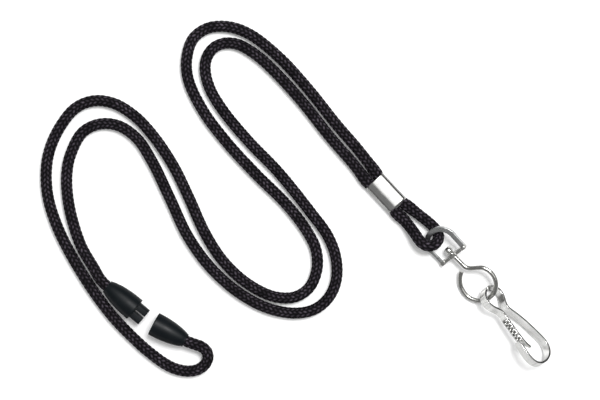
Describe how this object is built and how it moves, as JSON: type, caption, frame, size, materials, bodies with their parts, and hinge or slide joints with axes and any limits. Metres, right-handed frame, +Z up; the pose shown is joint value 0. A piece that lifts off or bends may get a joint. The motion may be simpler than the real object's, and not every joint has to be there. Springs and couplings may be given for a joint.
{
  "type": "lanyard badge holder",
  "caption": "Braided cord neck loop with a breakaway coupling, a crimped metal ferrule, a swivel loop, a wire hook and a spring clip for a badge.",
  "frame": {"origin": "centre of the ferrule's flat underside, which lies on the table", "axes": "+Z up from the table; +X towards the clip's side of the ferrule and -X towards the breakaway coupling, in the lay's long direction; +Y towards the cord's far bends"},
  "size_m": [0.1693, 0.1183, 0.0097],
  "materials": {
    "cord": "black braided polyester cord, matte with small glints on the plaits",
    "bright_nickel": "bright nickel plating",
    "satin_nickel": "satin, greyer than the wire",
    "black_plastic": "moulded black plastic, satin",
    "crimp_metal": "plain steel"
  },
  "bodies": {
    "lanyard": {"cord_female_strand": "cord", "cord_female_tail": "cord", "cord_male_strand": "cord", "cord_male_lead": "cord", "cord_hook_bight": "cord", "ferrule": "bright_nickel", "cord_in_ferrule_female_side": "cord", "cord_in_ferrule_male_side": "cord", "breakaway_female_shell": "black_plastic", "cord_end_female": "cord", "cord_crimp_female": "crimp_metal"},
    "loop": {"swivel_loop": "satin_nickel"},
    "hook": {"swivel_hook": "bright_nickel"},
    "clip": {"clip_body": "bright_nickel"},
    "gate": {"clip_gate": "bright_nickel"},
    "male_half": {"breakaway_male_shell": "black_plastic", "breakaway_male_fork": "black_plastic", "cord_end_male": "cord", "cord_crimp_male": "crimp_metal"}
  },
  "joints": [
    {"name": "loop_swing", "type": "hinge", "parent": "lanyard", "child": "loop", "pos_m": [0.01829, -0.01631, 0.00402], "axis": [-0.2791, -0.3664, 0.8876], "range_deg": [-25, 25]},
    {"name": "hook_swivel", "type": "hinge", "parent": "loop", "child": "hook", "pos_m": [0.02066, -0.01904, 0.0035], "axis": [0.7071, -0.7071, 0], "continuous": true},
    {"name": "clip_travel", "type": "hinge", "parent": "hook", "child": "clip", "pos_m": [0.0306, -0.0301, 0.0032], "axis": [-0.2534, -0.2534, 0.9336], "range_deg": [-120, 75]},
    {"name": "gate_flex", "type": "hinge", "parent": "clip", "child": "gate", "pos_m": [0.03832, -0.04055, 0.00526], "axis": [0.469, 0.4414, 0.765], "range_deg": [0, 14], "stiffness_Nm_per_rad": 0.05},
    {"name": "breakaway_close", "type": "hinge", "parent": "lanyard", "child": "male_half", "pos_m": [-0.05875, -0.01196, 0.00402], "axis": [0, 0, 1], "range_deg": [0, 12]}
  ]
}
